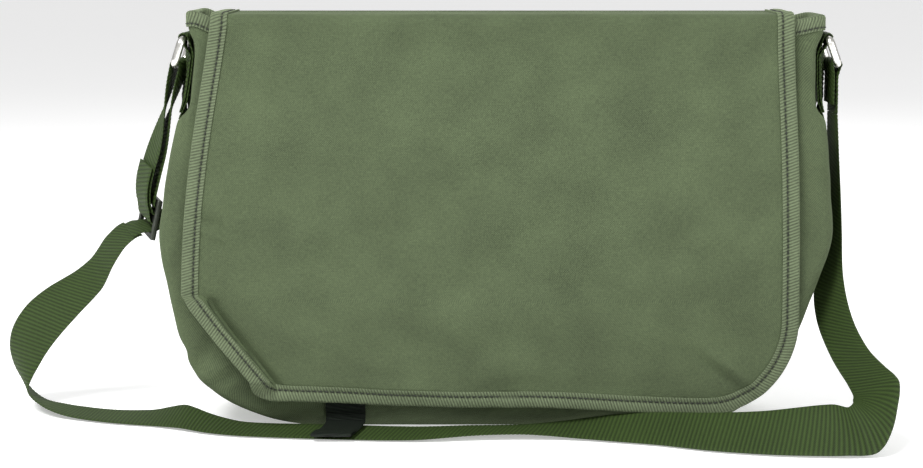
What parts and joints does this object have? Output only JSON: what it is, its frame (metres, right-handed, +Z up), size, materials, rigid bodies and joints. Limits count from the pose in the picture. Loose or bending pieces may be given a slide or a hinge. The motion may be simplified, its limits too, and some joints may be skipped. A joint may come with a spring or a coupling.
{
  "type": "messenger bag",
  "caption": "Soft canvas messenger bag with a tape-bound flap over the mouth and an adjustable webbing shoulder strap on side rings.",
  "frame": {"origin": "on the ground under the middle of the bag's box, without the free strap", "axes": "+Z up, -Y towards the flap's face, +X to the right as seen from the front"},
  "size_m": [0.569, 0.179, 0.2618],
  "materials": {
    "canvas": "matt olive plain-weave polyester canvas",
    "lining": "thin dark green lining cloth",
    "binding": "sage green ribbed binding tape",
    "webbing": "dark green ribbed webbing",
    "board": "black stiffening board",
    "steel": "bright nickel-plated wire",
    "gunmetal": "dark grey satin metal",
    "hook_and_loop": "dark hook-and-loop tape"
  },
  "bodies": {
    "root": {"front_panel": "canvas", "back_panel": "canvas", "gusset_left": "canvas", "gusset_right": "canvas", "base_panel": "canvas", "base_board": "board", "lining_front": "lining", "lining_back": "lining", "lining_left": "lining", "lining_right": "lining", "mouth_binding": "binding", "loop_strip_left": "hook_and_loop", "loop_strip_right": "hook_and_loop", "anchor_tab_left": "webbing", "anchor_tab_right": "webbing", "adjuster_strap": "webbing", "shoulder_strap": "webbing", "tab_sewn": "webbing"},
    "flap_over": {"flap_top": "canvas", "flap_top_lining": "lining", "flap_top_binding_left": "binding", "flap_top_binding_right": "binding"},
    "flap_face": {"flap_front": "canvas", "flap_lining": "lining", "flap_binding": "binding", "hook_strip_left": "hook_and_loop", "hook_strip_right": "hook_and_loop"},
    "ring_l": {"ring_left": "steel"},
    "ring_r": {"ring_right": "steel", "strap_end": "webbing"},
    "slider_body": {"slider": "gunmetal"},
    "tab_end": {"tab_loose": "webbing"}
  },
  "joints": [
    {"name": "flap_lift", "type": "hinge", "parent": "root", "child": "flap_over", "pos_m": [0.0005, 0.0488, 0.2576], "axis": [-1, 0, 0], "range_deg": [0, 175]},
    {"name": "flap_fold", "type": "hinge", "parent": "flap_over", "child": "flap_face", "pos_m": [0.0005, -0.0165, 0.2606], "axis": [-1, 0, 0], "range_deg": [0, 90]},
    {"name": "ring_left_pivot", "type": "hinge", "parent": "root", "child": "ring_l", "pos_m": [-0.1987, 0.0178, 0.245], "axis": [0, 1, 0], "range_deg": [0, 40], "deforming": ["adjuster_strap"]},
    {"name": "ring_right_pivot", "type": "hinge", "parent": "root", "child": "ring_r", "pos_m": [0.2082, 0.0178, 0.245], "axis": [0, -1, 0], "range_deg": [0, 40], "deforming": ["shoulder_strap"]},
    {"name": "slider_slide", "type": "slide", "parent": "root", "child": "slider_body", "axis": [0.2141, 0, 0.9768], "range_m": [-0.008, 0.012]},
    {"name": "tab_lift", "type": "hinge", "parent": "root", "child": "tab_end", "pos_m": [-0.0965, -0.02599, 0.008], "axis": [-1, 0, 0], "range_deg": [0, 38]}
  ]
}
